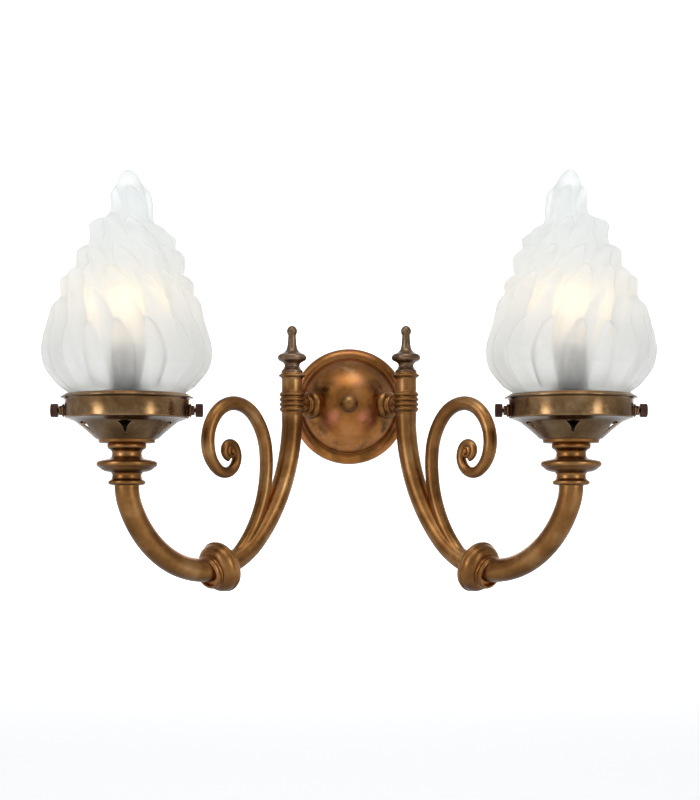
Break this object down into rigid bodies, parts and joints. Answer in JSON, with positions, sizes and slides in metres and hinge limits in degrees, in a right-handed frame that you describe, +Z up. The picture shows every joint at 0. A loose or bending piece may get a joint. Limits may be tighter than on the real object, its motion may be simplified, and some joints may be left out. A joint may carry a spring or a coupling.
{
  "type": "wall sconce",
  "caption": "Aged brass wall sconce with a round domed plate, scrolled arms turned out to both sides, pierced galleries and flame-shaped frosted glass shades.",
  "frame": {"origin": "centre of the wall plate's rear face, on the wall", "axes": "+Z up, +Y into the wall, so the lights stand out towards -Y; +X to the right of a person who faces the wall"},
  "size_m": [0.4444, 0.2137, 0.3069],
  "materials": {
    "aged_brass": "aged, satin",
    "plate_brass": "aged, satin, reddish in patches",
    "gallery_brass": "aged, polished band",
    "dark_brass": "darkened, satin",
    "screw_bronze": "matt bronze",
    "plain_brass": "plain",
    "zinc_steel": "zinc plated",
    "terminal_plastic": "matt",
    "holder_black": "black heat-proof lampholder",
    "lamp_cap_metal": "thin rolled shell",
    "lamp_glass": "opal",
    "frosted_glass": "acid-frosted"
  },
  "bodies": {
    "fixture": {"wall_plate": "plate_brass", "centre_knob": "aged_brass", "centre_stud": "zinc_steel", "stud_nuts": "zinc_steel", "mounting_strap": "zinc_steel", "earth_screw": "plain_brass", "terminal_block": "terminal_plastic", "right_stub": "aged_brass", "right_stub_nipple": "zinc_steel", "right_stub_locknut": "zinc_steel", "right_barrel": "aged_brass", "right_collar": "aged_brass", "right_finial": "dark_brass", "right_inner_arm": "aged_brass", "right_outer_arm": "aged_brass", "right_knuckle": "aged_brass", "right_scroll": "aged_brass", "right_stem": "aged_brass", "right_gallery_seat": "aged_brass", "right_gallery": "gallery_brass", "right_gallery_nipple": "zinc_steel", "right_gallery_nut": "zinc_steel", "right_screw_bushes": "dark_brass", "right_holder_cap": "holder_black", "right_holder_sleeve": "holder_black", "right_holder_insert": "holder_black", "left_stub": "aged_brass", "left_stub_nipple": "zinc_steel", "left_stub_locknut": "zinc_steel", "left_barrel": "aged_brass", "left_collar": "aged_brass", "left_finial": "dark_brass", "left_inner_arm": "aged_brass", "left_outer_arm": "aged_brass", "left_knuckle": "aged_brass", "left_scroll": "aged_brass", "left_stem": "aged_brass", "left_gallery_seat": "aged_brass", "left_gallery": "gallery_brass", "left_gallery_nipple": "zinc_steel", "left_gallery_nut": "zinc_steel", "left_screw_bushes": "dark_brass", "left_holder_cap": "holder_black", "left_holder_sleeve": "holder_black", "left_holder_insert": "holder_black"},
    "right_shade": {"right_glass_shade": "frosted_glass", "right_shade_shoulder": "frosted_glass", "right_shade_neck": "frosted_glass"},
    "right_lamp": {"right_lamp_cap": "lamp_cap_metal", "right_lamp_glass": "lamp_glass"},
    "right_outer_screw": {"right_outer_shade_screw": "screw_bronze"},
    "right_inner_screw": {"right_inner_shade_screw": "screw_bronze"},
    "right_rear_screw": {"right_rear_shade_screw": "screw_bronze"},
    "left_shade": {"left_glass_shade": "frosted_glass", "left_shade_shoulder": "frosted_glass", "left_shade_neck": "frosted_glass"},
    "left_lamp": {"left_lamp_cap": "lamp_cap_metal", "left_lamp_glass": "lamp_glass"},
    "left_outer_screw": {"left_outer_shade_screw": "screw_bronze"},
    "left_inner_screw": {"left_inner_shade_screw": "screw_bronze"},
    "left_rear_screw": {"left_rear_shade_screw": "screw_bronze"}
  },
  "joints": [
    {"name": "right_shade_lift", "type": "slide", "parent": "fixture", "child": "right_shade", "axis": [0, 0, 1], "range_m": [0, 0.115]},
    {"name": "right_lamp_unscrew", "type": "slide", "parent": "fixture", "child": "right_lamp", "axis": [0, 0, 1], "range_m": [0, 0.024]},
    {"name": "right_outer_screw_travel", "type": "slide", "parent": "fixture", "child": "right_outer_screw", "axis": [1, 0, 0], "range_m": [0, 0.0045]},
    {"name": "right_inner_screw_travel", "type": "slide", "parent": "fixture", "child": "right_inner_screw", "axis": [-1, 0, 0], "range_m": [0, 0.0045]},
    {"name": "right_rear_screw_travel", "type": "slide", "parent": "fixture", "child": "right_rear_screw", "axis": [0, 1, 0], "range_m": [0, 0.0045]},
    {"name": "left_shade_lift", "type": "slide", "parent": "fixture", "child": "left_shade", "axis": [0, 0, 1], "range_m": [0, 0.115]},
    {"name": "left_lamp_unscrew", "type": "slide", "parent": "fixture", "child": "left_lamp", "axis": [0, 0, 1], "range_m": [0, 0.024]},
    {"name": "left_outer_screw_travel", "type": "slide", "parent": "fixture", "child": "left_outer_screw", "axis": [-1, 0, 0], "range_m": [0, 0.0045]},
    {"name": "left_inner_screw_travel", "type": "slide", "parent": "fixture", "child": "left_inner_screw", "axis": [1, 0, 0], "range_m": [0, 0.0045]},
    {"name": "left_rear_screw_travel", "type": "slide", "parent": "fixture", "child": "left_rear_screw", "axis": [0, 1, 0], "range_m": [0, 0.0045]}
  ]
}
